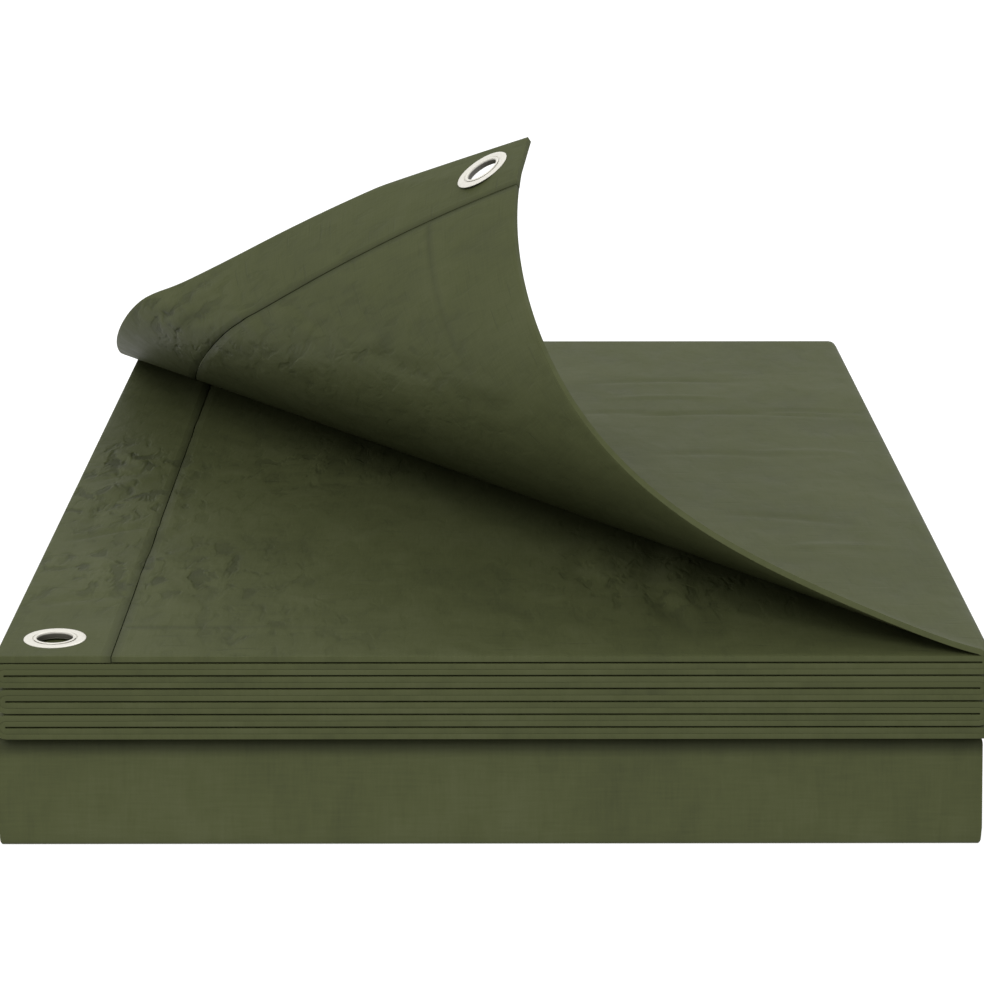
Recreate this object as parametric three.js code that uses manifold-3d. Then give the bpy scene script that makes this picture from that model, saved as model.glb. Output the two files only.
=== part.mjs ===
// Folded poly tarp: a stack of double layers folded left and right, on a bundle folded front to back,
// with the front left corner of the top layer turned up and over. Millimetres, +X right, +Y back, +Z up,
// origin at the centre of the flat underside.
import * as THREE from 'three';
import { mergeVertices } from 'three/addons/utils/BufferGeometryUtils.js';
import Module from 'manifold-3d';

const wasm = await Module();
wasm.setup();

// The pack as it lies.
const PACK_W = 380;
const PACK_D = 546;
const HALF_W = PACK_W / 2;
const HALF_D = PACK_D / 2;

// Stack of double layers.
const PLY = 2;
const SLIT = 0.4;
const BAND = 2 * PLY + SLIT;
const BAND_GAP = 0.78;
const BAND_PITCH = BAND + BAND_GAP;
const BAND_COUNT = 7;
const LOWEST_BAND_Z = 45.1;
const TOP_BAND_Z = LOWEST_BAND_Z + (BAND_COUNT - 1) * BAND_PITCH;
const TOP_OF_STACK = TOP_BAND_Z + BAND / 2;
const TURN_ZONE = 6;
const BACK_FOLD = 5;
const ARC_STEPS = 8;

// How far each end fold stops short of the pack's full width, from the top fold down.
const FOLD_SHORTFALL = [0, 0.6, 0.3, 0.9, 0, 0.5, 0.4];

// Bundle under the stack: one layer wrapped round the front, and its other layers zigzag inside.
const BUNDLE_PLY = 2.2;
const BUNDLE_H = 42.2;
const BUNDLE_TOP_FRONT = -268.5;
const BUNDLE_TOP_R = 4;
const BUNDLE_FOOT_FRONT = -274.5;
const BUNDLE_FOOT_R = 2.2;
const BUNDLE_BACK = 268;
const BUNDLE_LEFT = -190.5;
const BUNDLE_RIGHT = 187;
const BUNDLE_SIDE_R = 4;
const INNER_COUNT = 13;
const INNER_PITCH = 2.86;
const INNER_FRONT = -262;

// How far each inner layer's fold stops short, from the lowest layer up.
const INNER_SHORTFALL = [1, 3, 0.5, 2, 1.5, 4, 0.5, 2.5, 1, 3.5, 0, 2, 3];

// Side hem, with an eyelet near each end of it. It is made in three lengths.
const HEM_W = 44;
const SEAM_GAP = 0.3;
const LOWER_END_LENGTH = 50;
const TURNED_LENGTH = 400;

// Turned corner. The top layer is first drawn flat: "left" is where a bend line crosses the line of the
// left edge, "front" where it crosses the line of the front edge, both from the pack's front left corner,
// "turn" is how far the layer has turned up by that line, in degrees, and "sag" is how far the line's left
// end bows out of the layer.
const BEND_LINES = [
  { left: 530, front: 386, turn: 0, sag: 0 },
  { left: 520, front: 381, turn: 27, sag: 0 },
  { left: 430, front: 338, turn: 28, sag: 0 },
  { left: 345, front: 276, turn: 40, sag: 4 },
  { left: 320, front: 222, turn: 78, sag: 13 },
  { left: 290, front: 162, turn: 114, sag: 16 },
  { left: 235, front: 112, turn: 137, sag: 12 },
  { left: 190, front: 90, turn: 148, sag: 5 },
];
const STEPS_PER_ROW = 4;
const EDGE_STEP = 8;

// The turned corner is drawn in a little from the corner below it, and the layer hangs over to the left.
const CORNER_IN_X = 39;
const CORNER_IN_Y = 52;
const CORNER_REACH_X = 381;
const CORNER_REACH_Y = 500;
const OVERHANG = 7;
const OVERHANG_FROM = 480;
const OVERHANG_TO = 538;
const OVERHANG_FADES_FROM = 60;

// Eyelets.
const EYELET_IN_X = 20;
const EYELET_IN_Y = 22;
const TURNED_EYELET_IN_Y = 24;
const FLANGE_R = 12;
const HOLE_R = 7;
const BARREL_R = 7.7;
const FLANGE_T = 0.7;
const WASHER_T = 0.8;
const FIT = 0.35;
const ROUND = 48;

const cloth = () => new THREE.MeshStandardMaterial({ color: 0x55593e, roughness: 0.62, metalness: 0 });
const metal = () => new THREE.MeshStandardMaterial({ color: 0xd6d3c8, roughness: 0.38, metalness: 0.9 });

function toSolid(geometry) {
  const bare = new THREE.BufferGeometry();
  bare.setAttribute('position', geometry.getAttribute('position').clone());
  if (geometry.index) {
    bare.setIndex(geometry.index.clone());
  }
  const merged = mergeVertices(bare, 1e-4);
  return new wasm.Manifold(new wasm.Mesh({
    numProp: 3,
    vertProperties: new Float32Array(merged.getAttribute('position').array),
    triVerts: new Uint32Array(merged.index.array),
  }));
}

function toMesh(solid, name, material) {
  const data = solid.getMesh();
  const geometry = new THREE.BufferGeometry();
  const points = [];
  for (let i = 0; i < data.vertProperties.length; i += data.numProp) {
    points.push(data.vertProperties[i], data.vertProperties[i + 1], data.vertProperties[i + 2]);
  }
  geometry.setAttribute('position', new THREE.Float32BufferAttribute(points, 3));
  geometry.setIndex(Array.from(data.triVerts));
  const mesh = new THREE.Mesh(geometry, material);
  mesh.name = name;
  return mesh;
}

function joinAll(solids) {
  return solids.reduce((whole, next) => whole.add(next));
}

function box(low, high) {
  const geometry = new THREE.BoxGeometry(high[0] - low[0], high[1] - low[1], high[2] - low[2]);
  geometry.translate((low[0] + high[0]) / 2, (low[1] + high[1]) / 2, (low[2] + high[2]) / 2);
  return toSolid(geometry);
}

// A section drawn in X and Z, run from one Y to another.
function alongY(outline, fromY, toY) {
  const shape = new THREE.Shape(outline);
  const geometry = new THREE.ExtrudeGeometry(shape, { depth: toY - fromY, bevelEnabled: false });
  geometry.rotateX(Math.PI / 2);
  geometry.translate(0, toY, 0);
  return toSolid(geometry);
}

// A section drawn in Y and Z, run from one X to another.
function alongX(outline, fromX, toX) {
  const shape = new THREE.Shape(outline);
  const geometry = new THREE.ExtrudeGeometry(shape, { depth: toX - fromX, bevelEnabled: false });
  geometry.rotateX(Math.PI / 2);
  geometry.rotateZ(Math.PI / 2);
  geometry.translate(fromX, 0, 0);
  return toSolid(geometry);
}

// The closed outline of a layer whose middle follows the path.
function outlineOf(path, thickness) {
  const upper = [];
  const lower = [];
  path.forEach((point, i) => {
    const before = path[Math.max(i - 1, 0)];
    const after = path[Math.min(i + 1, path.length - 1)];
    const into = point.clone().sub(before);
    const out = after.clone().sub(point);
    const a = (i === 0 ? out : into).clone().normalize();
    const b = (i === path.length - 1 ? into : out).clone().normalize();
    const mean = a.clone().add(b).normalize();
    const side = new THREE.Vector2(-mean.y, mean.x);
    const reach = thickness / 2 / Math.max(mean.dot(a), 0.5);
    upper.push(point.clone().addScaledVector(side, reach));
    lower.push(point.clone().addScaledVector(side, -reach));
  });
  return upper.concat(lower.reverse());
}

// A half circle round a fold, going down from (x, top) to (x, bottom), bulging to the side given.
function foldArc(x, top, bottom, side) {
  const middle = (top + bottom) / 2;
  const radius = (top - bottom) / 2;
  const points = [];
  for (let i = 0; i <= ARC_STEPS; i += 1) {
    const angle = Math.PI * i / ARC_STEPS;
    points.push(new THREE.Vector2(x + side * radius * Math.sin(angle), middle + radius * Math.cos(angle)));
  }
  return points;
}

// The middle line of the stack, from the free end at the top left down to the bundle's top layer.
function stackPath() {
  const path = [new THREE.Vector2(-HALF_W, TOP_BAND_Z)];
  const reach = HALF_W - BAND / 2 - BAND_PITCH / 2;
  FOLD_SHORTFALL.forEach((short, i) => {
    const side = i % 2 === 0 ? 1 : -1;
    const top = TOP_BAND_Z - i * BAND_PITCH;
    const x = side * (reach - short);
    if (i < BAND_COUNT - 1) {
      path.push(...foldArc(x, top, top - BAND_PITCH, side));
    } else {
      path.push(new THREE.Vector2(side * (HALF_W - short), top));
    }
  });
  return path;
}

// Each double layer is closed and rounded at the back.
function backFolds() {
  const slabs = [];
  for (let i = 0; i < BAND_COUNT; i += 1) {
    const z = LOWEST_BAND_Z + i * BAND_PITCH;
    const r = BAND / 2;
    const end = HALF_D - r - FOLD_SHORTFALL[i] * 2;
    const outline = [new THREE.Vector2(-HALF_D - 5, z - r)];
    for (let k = 0; k <= ARC_STEPS; k += 1) {
      const angle = -Math.PI / 2 + Math.PI * k / ARC_STEPS;
      outline.push(new THREE.Vector2(end + r * Math.cos(angle), z + r * Math.sin(angle)));
    }
    outline.push(new THREE.Vector2(-HALF_D - 5, z + r));
    slabs.push(alongX(outline, -HALF_W - 10, HALF_W + 10));
  }
  const turnEnd = HALF_D - 6;
  for (const side of [-1, 1]) {
    const inner = side * (HALF_W - TURN_ZONE);
    const outer = side * (HALF_W + 10);
    slabs.push(box(
      [Math.min(inner, outer), -HALF_D - 5, LOWEST_BAND_Z - BAND],
      [Math.max(inner, outer), turnEnd, TOP_OF_STACK + 1],
    ));
  }
  return joinAll(slabs);
}

function stack() {
  const path = stackPath();
  const layers = alongY(outlineOf(path, BAND), -HALF_D, HALF_D);
  const slitPath = path.slice();
  slitPath[0] = new THREE.Vector2(-HALF_W - 5, TOP_BAND_Z);
  const last = slitPath[slitPath.length - 1];
  slitPath[slitPath.length - 1] = new THREE.Vector2(last.x + 10, last.y);
  const slit = alongY(outlineOf(slitPath, SLIT), -HALF_D - 5, HALF_D - BACK_FOLD);
  return layers.intersect(backFolds()).subtract(slit);
}

// The bundle's middle line, drawn in Y and Z: over the top, round the front, back along the bottom,
// then up through the inner layers.
function bundlePath() {
  const half = BUNDLE_PLY / 2;
  const path = [new THREE.Vector2(BUNDLE_BACK, BUNDLE_H - half)];
  for (const [front, radius, z, from] of [
    [BUNDLE_TOP_FRONT, BUNDLE_TOP_R, BUNDLE_H - BUNDLE_TOP_R, 90],
    [BUNDLE_FOOT_FRONT, BUNDLE_FOOT_R, BUNDLE_FOOT_R, 180],
  ]) {
    const r = radius - half;
    for (let i = 0; i <= 4; i += 1) {
      const angle = THREE.MathUtils.degToRad(from + 90 * i / 4);
      path.push(new THREE.Vector2(front + radius + r * Math.cos(angle), z + r * Math.sin(angle)));
    }
  }
  for (let i = 0; i < INNER_COUNT; i += 1) {
    const below = half + i * INNER_PITCH;
    const atBack = i % 2 === 0;
    const y = atBack ? BUNDLE_BACK - INNER_SHORTFALL[i] : INNER_FRONT + INNER_SHORTFALL[i];
    path.push(...foldArc(y, below + INNER_PITCH, below, atBack ? 1 : -1).reverse());
  }
  path.push(new THREE.Vector2(INNER_FRONT + 2, half + INNER_COUNT * INNER_PITCH));
  return path;
}

function bundle() {
  const layers = alongX(outlineOf(bundlePath(), BUNDLE_PLY), BUNDLE_LEFT, BUNDLE_RIGHT);
  const r = BUNDLE_SIDE_R;
  const shape = [];
  for (const [x, z, from] of [
    [BUNDLE_RIGHT - r, r, -90],
    [BUNDLE_RIGHT - r, BUNDLE_H - r, 0],
    [BUNDLE_LEFT + r, BUNDLE_H - r, 90],
    [BUNDLE_LEFT + r, r, 180],
  ]) {
    for (let i = 0; i <= 4; i += 1) {
      const angle = THREE.MathUtils.degToRad(from + 90 * i / 4);
      shape.push(new THREE.Vector2(x + r * Math.cos(angle), z + r * Math.sin(angle)));
    }
  }
  return layers.intersect(alongY(shape, -HALF_D - 5, HALF_D + 5));
}

// The lowest double layer turns down at its right end into the bundle's top layer.
function turnIntoBundle() {
  const top = LOWEST_BAND_Z;
  const bottom = BUNDLE_H - BUNDLE_PLY / 2;
  const x = HALF_W - 8;
  const path = [new THREE.Vector2(x - 12, top)].concat(foldArc(x, top, bottom, 1));
  path.push(new THREE.Vector2(x - 12, bottom));
  return alongY(outlineOf(path, 2), -HALF_D + 4, HALF_D - 8);
}

// Where a point of the top layer lies when drawn flat, from the pack's front left corner: "in" is
// measured from the layer's left edge and "back" from its front edge.
function drawnFlat(inward, back) {
  const fadeX = Math.max(1 - inward / CORNER_REACH_X, 0);
  const fadeY = Math.max(1 - back / CORNER_REACH_Y, 0);
  const toFront = THREE.MathUtils.clamp((back - OVERHANG_FROM) / (OVERHANG_TO - OVERHANG_FROM), 0, 1);
  const toRight = (CORNER_REACH_X - inward) / (CORNER_REACH_X - OVERHANG_FADES_FROM);
  const squared = OVERHANG * toFront * THREE.MathUtils.clamp(toRight, 0, 1);
  return new THREE.Vector2(
    inward + CORNER_IN_X * fadeX * fadeY * fadeY + squared,
    back + CORNER_IN_Y * fadeX * fadeY,
  );
}

function rowAt(step) {
  const place = step / STEPS_PER_ROW;
  const i = Math.min(Math.floor(place), BEND_LINES.length - 2);
  const part = place - i;
  const mix = (key) => BEND_LINES[i][key] * (1 - part) + BEND_LINES[i + 1][key] * part;
  return { left: mix('left'), front: mix('front'), turn: mix('turn'), sag: mix('sag') };
}

// Every bend line with the motion that all the cloth beyond it has made.
function bends() {
  const steps = (BEND_LINES.length - 1) * STEPS_PER_ROW;
  const motion = new THREE.Matrix4();
  const lines = [];
  for (let i = 0; i < steps; i += 1) {
    const here = rowAt(i + 0.5);
    const angle = THREE.MathUtils.degToRad(rowAt(i + 1).turn - rowAt(i).turn);
    const axis = new THREE.Vector3(-here.front, here.left, 0).normalize();
    const foot = new THREE.Vector3(here.front, 0, 0);
    const step = new THREE.Matrix4().makeTranslation(foot.x, foot.y, foot.z)
      .multiply(new THREE.Matrix4().makeRotationAxis(axis, angle))
      .multiply(new THREE.Matrix4().makeTranslation(-foot.x, -foot.y, -foot.z));
    const before = new THREE.Vector3(0, 0, 1).transformDirection(motion);
    motion.multiply(step);
    const after = new THREE.Vector3(0, 0, 1).transformDirection(motion);
    lines.push({
      left: here.left,
      front: here.front,
      bow: before.add(after).normalize().multiplyScalar(here.sag / here.left),
      motion: motion.clone(),
    });
  }
  return lines;
}

// How far a point drawn flat lies before a bend line, as seen from the corner.
function beforeLine(point, line) {
  return point.x / line.front + point.y / line.left - 1;
}

// How the layer bows out at a point drawn flat.
function bowAt(point, lines) {
  const next = lines.findIndex((line) => beforeLine(point, line) >= -1e-9);
  if (next === 0) {
    return new THREE.Vector3();
  }
  if (next < 0) {
    return lines[lines.length - 1].bow.clone().multiplyScalar(point.y);
  }
  const past = -beforeLine(point, lines[next - 1]);
  const left = beforeLine(point, lines[next]);
  return lines[next - 1].bow.clone().lerp(lines[next].bow, past / (past + left)).multiplyScalar(point.y);
}

// Keeps the part of a flat outline on one side of a bend line.
function clip(outline, line, keepCorner) {
  const kept = [];
  const offset = (p) => beforeLine(p, line) * (keepCorner ? -1 : 1);
  outline.forEach((a, i) => {
    const b = outline[(i + 1) % outline.length];
    const da = offset(a);
    const db = offset(b);
    if (da >= 0) {
      kept.push(a);
    }
    if (da * db < 0) {
      kept.push(a.clone().lerp(b, da / (da - db)));
    }
  });
  return kept;
}

// Distances from one to another, with every whole edge step between them, so that parts that meet along
// an edge have their corners side by side.
function stations(from, to) {
  const list = [from];
  for (let at = (Math.floor(from / EDGE_STEP) + 1) * EDGE_STEP; at < to - 1; at += EDGE_STEP) {
    list.push(at);
  }
  return list.concat([to]);
}

// A part of the top layer, between two distances from its left edge and two from its front edge, bent
// along the bend lines.
function topLayerPart(fromLeft, toLeft, fromFront, toFront) {
  const inward = stations(fromLeft, toLeft);
  const back = stations(fromFront, toFront);
  const outline = back.map((at) => drawnFlat(fromLeft, at)).reverse()
    .concat(inward.slice(1).map((at) => drawnFlat(at, fromFront)))
    .concat(back.slice(1).map((at) => drawnFlat(toLeft, at)));
  const lines = bends();
  const identity = new THREE.Matrix4();
  const facets = [];
  for (let i = 0; i <= lines.length; i += 1) {
    let facet = outline;
    if (i > 0) {
      facet = clip(facet, lines[i - 1], true);
    }
    if (i < lines.length) {
      facet = clip(facet, lines[i], false);
    }
    if (facet.length > 2) {
      facets.push({ outline: facet, motion: i > 0 ? lines[i - 1].motion : identity });
    }
  }
  return thickSheet(facets, lines);
}

// One closed solid from flat facets that share their bend lines.
function thickSheet(facets, lines) {
  const points = [];
  const normals = [];
  const index = new Map();
  const faces = [];
  const lift = TOP_OF_STACK - PLY / 2;
  for (const { outline, motion } of facets) {
    const normal = new THREE.Vector3(0, 0, 1).transformDirection(motion);
    const ids = outline.map((p) => {
      const q = new THREE.Vector3(p.x, p.y, 0).applyMatrix4(motion);
      const key = [q.x, q.y, q.z].map((v) => Math.round(v * 500)).join(' ');
      if (!index.has(key)) {
        index.set(key, points.length);
        points.push(q.add(bowAt(p, lines)));
        normals.push([]);
      }
      return index.get(key);
    });
    const ring = ids.filter((id, k) => id !== ids[(k + 1) % ids.length]);
    ring.forEach((id) => normals[id].push(normal));
    const flat = outline.filter((p, k) => ids[k] !== ids[(k + 1) % ids.length]);
    for (const [a, b, c] of THREE.ShapeUtils.triangulateShape(flat, [])) {
      faces.push([ring[a], ring[b], ring[c]]);
    }
  }
  const positions = [];
  for (const side of [1, -1]) {
    points.forEach((p, i) => {
      const mean = normals[i].reduce((sum, n) => sum.add(n), new THREE.Vector3()).normalize();
      const reach = PLY / 2 / mean.dot(normals[i][0]);
      const q = p.clone().addScaledVector(mean, side * reach);
      positions.push(q.x - HALF_W - OVERHANG, q.y - HALF_D, q.z + lift);
    });
  }
  const n = points.length;
  const triangles = [];
  const edges = new Map();
  for (const [a, b, c] of faces) {
    triangles.push(a, b, c, a + n, c + n, b + n);
    for (const [u, v] of [[a, b], [b, c], [c, a]]) {
      edges.set(`${u} ${v}`, [u, v]);
    }
  }
  for (const [u, v] of edges.values()) {
    if (!edges.has(`${v} ${u}`)) {
      triangles.push(u, u + n, v, v, u + n, v + n);
    }
  }
  const geometry = new THREE.BufferGeometry();
  geometry.setAttribute('position', new THREE.Float32BufferAttribute(positions, 3));
  geometry.setIndex(triangles);
  return toSolid(geometry);
}

// The turned corner's own place: a frame whose Z leaves the side that shows.
function turnedEyeletFrame() {
  const { motion, bow } = bends().at(-1);
  const flat = drawnFlat(EYELET_IN_X, TURNED_EYELET_IN_Y);
  const place = new THREE.Vector3(flat.x, flat.y, 0).applyMatrix4(motion).addScaledVector(bow, flat.y);
  const inward = new THREE.Vector3(1, 0, 0).transformDirection(motion);
  const back = new THREE.Vector3(0, 1, 0).transformDirection(motion).add(bow);
  const below = back.cross(inward).normalize();
  const frame = new THREE.Matrix4().makeTranslation(-HALF_W - OVERHANG, -HALF_D, TOP_OF_STACK - PLY / 2);
  frame.multiply(new THREE.Matrix4().makeTranslation(place.x, place.y, place.z));
  frame.multiply(new THREE.Matrix4().makeBasis(inward, below.clone().cross(inward), below));
  frame.multiply(new THREE.Matrix4().makeTranslation(0, 0, -PLY / 2));
  return frame;
}

function lowerEyeletFrame() {
  return new THREE.Matrix4().makeTranslation(
    -HALF_W + EYELET_IN_X,
    -HALF_D + EYELET_IN_Y,
    TOP_BAND_Z - BAND / 2,
  );
}

function turned(profile) {
  const points = profile.concat([profile[0]]).map(([r, z]) => new THREE.Vector2(r, z));
  const geometry = new THREE.LatheGeometry(points, ROUND);
  geometry.rotateX(Math.PI / 2);
  return toSolid(geometry);
}

// The eyelet's barrel with its flange below the hem and its rolled lip above.
function eyelet() {
  const lip = PLY + FIT + WASHER_T + FIT;
  return turned([
    [HOLE_R, 0.3],
    [HOLE_R + 0.4, 0],
    [FLANGE_R - 0.3, 0],
    [FLANGE_R, 0.3],
    [FLANGE_R - 0.2, FLANGE_T],
    [BARREL_R, FLANGE_T],
    [BARREL_R, lip],
    [BARREL_R + 1.3, lip],
    [BARREL_R + 1.6, lip + 0.4],
    [BARREL_R + 1.2, lip + 0.85],
    [BARREL_R + 0.4, lip + 1],
    [HOLE_R + 0.25, lip + 0.75],
    [HOLE_R, lip + 0.2],
  ]);
}

// The washer that the lip is rolled over.
function washer() {
  const z = PLY + FIT;
  return turned([
    [BARREL_R + FIT, z],
    [FLANGE_R - 0.2, z],
    [FLANGE_R, z + 0.3],
    [FLANGE_R - 0.4, z + WASHER_T],
    [BARREL_R + 2.4, z + WASHER_T + 0.25],
    [BARREL_R + 1.9, z + WASHER_T],
    [BARREL_R + FIT, z + WASHER_T],
  ]);
}

// What an eyelet takes out of the hem: its hole and the seat of its flange.
function eyeletSeat() {
  return turned([
    [0.01, -3],
    [FLANGE_R + FIT, -3],
    [FLANGE_R + FIT, FLANGE_T + FIT],
    [BARREL_R + FIT, FLANGE_T + FIT],
    [BARREL_R + FIT, PLY + 3],
    [0.01, PLY + 3],
  ]);
}

function drill() {
  const geometry = new THREE.CylinderGeometry(BARREL_R, BARREL_R, 12, ROUND);
  geometry.rotateX(Math.PI / 2);
  return toSolid(geometry);
}

function placed(solid, frame) {
  return solid.transform(frame.elements);
}

function buildCloth() {
  const hemSide = -HALF_W + HEM_W + SEAM_GAP;
  const outside = -HALF_W - 20;
  const front = -HALF_D - 5;
  const over = TOP_OF_STACK + 5;
  const above = box([outside, front, TOP_BAND_Z], [HALF_W - 9, HALF_D - BACK_FOLD, over]);
  const hemRoom = box([outside, front, TOP_BAND_Z - BAND / 2 - BAND_GAP / 2], [hemSide, HALF_D + 5, over]);
  const folded = stack().subtract(above).subtract(hemRoom);
  const corner = topLayerPart(HEM_W + SEAM_GAP, CORNER_REACH_X, 0, PACK_D - 3);
  return joinAll([folded, bundle(), turnIntoBundle(), corner]);
}

function withEyeletSeat(hem, frame) {
  return hem.subtract(placed(eyeletSeat(), frame)).subtract(placed(drill(), frame));
}

// The hem's front end on the lower layer, with its eyelet.
function buildLowerHemEnd() {
  const bottom = TOP_BAND_Z - BAND / 2;
  const end = box([-HALF_W, -HALF_D, bottom], [-HALF_W + HEM_W, -HALF_D + LOWER_END_LENGTH, bottom + PLY]);
  return withEyeletSeat(end, lowerEyeletFrame());
}

// The hem from there back along the lower layer, round the back fold and forward on the top layer.
function buildSideHem() {
  const bottom = TOP_BAND_Z - BAND / 2;
  const start = -HALF_D + LOWER_END_LENGTH + SEAM_GAP;
  const lower = box([-HALF_W, start, bottom], [-HALF_W + HEM_W, HALF_D - BACK_FOLD + 1, bottom + PLY]);
  const r = BAND / 2;
  const outline = [new THREE.Vector2(HALF_D - BACK_FOLD, bottom)];
  for (let k = 0; k <= ARC_STEPS; k += 1) {
    const angle = -Math.PI / 2 + Math.PI * k / ARC_STEPS;
    outline.push(new THREE.Vector2(HALF_D - r + r * Math.cos(angle), TOP_BAND_Z + r * Math.sin(angle)));
  }
  outline.push(new THREE.Vector2(HALF_D - BACK_FOLD, TOP_OF_STACK));
  const fold = alongX(outline, -HALF_W, -HALF_W + HEM_W);
  const upper = topLayerPart(0, HEM_W, TURNED_LENGTH + SEAM_GAP, PACK_D - 3);
  return joinAll([lower, fold, upper]);
}

// The rest of the hem, which turns up and over with the corner.
function buildTurnedHem() {
  return withEyeletSeat(topLayerPart(0, HEM_W, 0, TURNED_LENGTH), turnedEyeletFrame());
}

const tarp = new THREE.Group();
tarp.add(toMesh(buildCloth(), 'cloth', cloth()));
tarp.add(toMesh(buildLowerHemEnd(), 'lower_hem_end', cloth()));
tarp.add(toMesh(buildSideHem(), 'side_hem', cloth()));
tarp.add(toMesh(buildTurnedHem(), 'turned_hem', cloth()));
tarp.add(toMesh(placed(eyelet(), lowerEyeletFrame()), 'lower_eyelet', metal()));
tarp.add(toMesh(placed(washer(), lowerEyeletFrame()), 'lower_washer', metal()));
tarp.add(toMesh(placed(eyelet(), turnedEyeletFrame()), 'turned_eyelet', metal()));
tarp.add(toMesh(placed(washer(), turnedEyeletFrame()), 'turned_washer', metal()));

export default tarp;
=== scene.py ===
"""A folded poly tarp with one corner of its top layer turned up and over, in the part's own frame."""

import math

import bpy
import numpy as np
from mathutils import Matrix, Vector


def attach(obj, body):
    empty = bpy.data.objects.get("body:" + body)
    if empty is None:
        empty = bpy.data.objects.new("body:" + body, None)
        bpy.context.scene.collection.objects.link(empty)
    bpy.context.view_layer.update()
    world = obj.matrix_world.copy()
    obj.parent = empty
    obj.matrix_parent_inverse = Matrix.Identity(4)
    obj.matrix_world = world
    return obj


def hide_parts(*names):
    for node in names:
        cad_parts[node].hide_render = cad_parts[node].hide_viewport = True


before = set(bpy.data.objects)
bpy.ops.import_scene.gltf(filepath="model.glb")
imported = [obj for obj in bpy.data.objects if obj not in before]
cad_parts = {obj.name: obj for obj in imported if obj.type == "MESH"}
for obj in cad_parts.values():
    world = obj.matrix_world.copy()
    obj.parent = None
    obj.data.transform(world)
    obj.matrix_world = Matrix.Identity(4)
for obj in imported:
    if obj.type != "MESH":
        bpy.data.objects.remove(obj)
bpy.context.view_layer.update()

MM = 0.001

# The pack as it lies, in millimetres: the same sizes as the part's own source.
HALF_WIDTH = 190.0
HALF_DEPTH = 273.0
DEPTH = 2 * HALF_DEPTH
BAND = 4.4
BAND_PITCH = 5.18
BAND_COUNT = 7
TOP_BAND_Z = 76.18

# How far each end fold stops short at its side, and at the back, from the top fold down. Below zero it
# stands out a little.
SIDE_SHORTFALL = (0, -1.5, 0.3, -1.2, 0, -1.6, 0.4)
BACK_SHORTFALL = (0, 0.6, 0.3, 0.9, 0, 0.5, 0.4)

# Each band is a double layer: its two middles lie this far from the band's own middle.
LAYER = 2.15
LAYER_OFFSET = 1.125

BUNDLE_LAYER = 2.2
BUNDLE_HEIGHT = 42.2
BUNDLE_TOP_FRONT = -267.5
BUNDLE_TOP_ROUND = 5.0
BUNDLE_FOOT_FRONT = -274.5
BUNDLE_FOOT_ROUND = 2.2
BUNDLE_BACK = 268.0
BUNDLE_LEFT = -191.2
BUNDLE_RIGHT = 188.0
BUNDLE_SIDE_ROUND = 4.0
INNER_PITCH = 2.86
INNER_FRONT = -262.0
INNER_SHORTFALL = (1, 3, 0.5, 2, 1.5, 4, 0.5, 2.5, 1, 3.5, 0, 2, 3)

# Last turn, from the lowest double layer down into the bundle's top layer: how far its bend starts from
# the right side, how long its two legs are, and how far it stops short at the front and at the back.
LAST_TURN_IN = 8.0
LAST_TURN_LEG = 12.0
LAST_TURN_FRONT_SHORT = 12.0
LAST_TURN_BACK_SHORT = 8.0

# The cloth map gives each point's own place on the cloth. The last turn and the bundle lie far from the
# stack on it. These sizes are in millimetres, and the map itself is in metres.
LAST_TURN_MAP_START = 3600.0
LAST_TURN_MAP_STEP = 3.0
BUNDLE_MAP_START = 4000.0
LOWEST_LAYER_MAP_END = 34.0

HEM = 44.0
SEAM_GAP = 0.3
HEM_LAYER = 2.6
CLOTH_EDGE_ROUND = 0.3
HEM_EDGE_ROUND = 0.5

# Turned corner: where each bend line crosses the lines of the left and front edges, how far the layer has
# turned by then, in degrees, and how far the line's left end bows out.
BEND_COLUMNS = ("left", "front", "turn", "sag")
BEND_LINES = (
    (530, 386, 0, 0),
    (520, 381, 27, 0),
    (430, 338, 28, 0),
    (345, 276, 40, 4),
    (320, 222, 78, 13),
    (290, 162, 114, 16),
    (235, 112, 137, 12),
    (190, 90, 148, 5),
)
BEND_STEPS = 140
BEND_SMOOTHING = 31

# How far the corner is drawn in to the right and back, and how far from it that reaches. Towards the back
# the layer hangs over to the left.
CORNER_IN = (39.0, 52.0)
CORNER_REACH = (381.0, 500.0)
OVERHANG = 7.0
OVERHANG_BACK = (480.0, 538.0)
OVERHANG_FADES_FROM = 60.0
FLAT_RIGHT = 381.0

# Eyelets, from the hem's left and front edges. The hem is cut away round each.
EYELET_IN = 20.0
LOWER_EYELET_BACK = 22.0
TURNED_EYELET_BACK = 24.0
EYELET_CLEARING = 8.2
HOLE_R = 7.0
BARREL_R = 7.7
FLANGE_R = 12.0
HEM_SOLID = 2.0
TURN_STEPS = 96
BORE_SLACK = 0.05
BORE_TOP = HEM_SOLID + 0.3

# Spacing of the modelled cloth's points, and how many steps its rounds take.
CLOTH_STEP = 3.2
HEM_STEP = 2.0
FOLD_STEPS = 8
COARSE_SHARE = 8
COARSE_ROWS = 8
LONG_STEP = 30.0
BUNDLE_ROW_POINTS = 21
ROUND_STEPS = 8
FOOT_STEPS = 4

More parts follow.
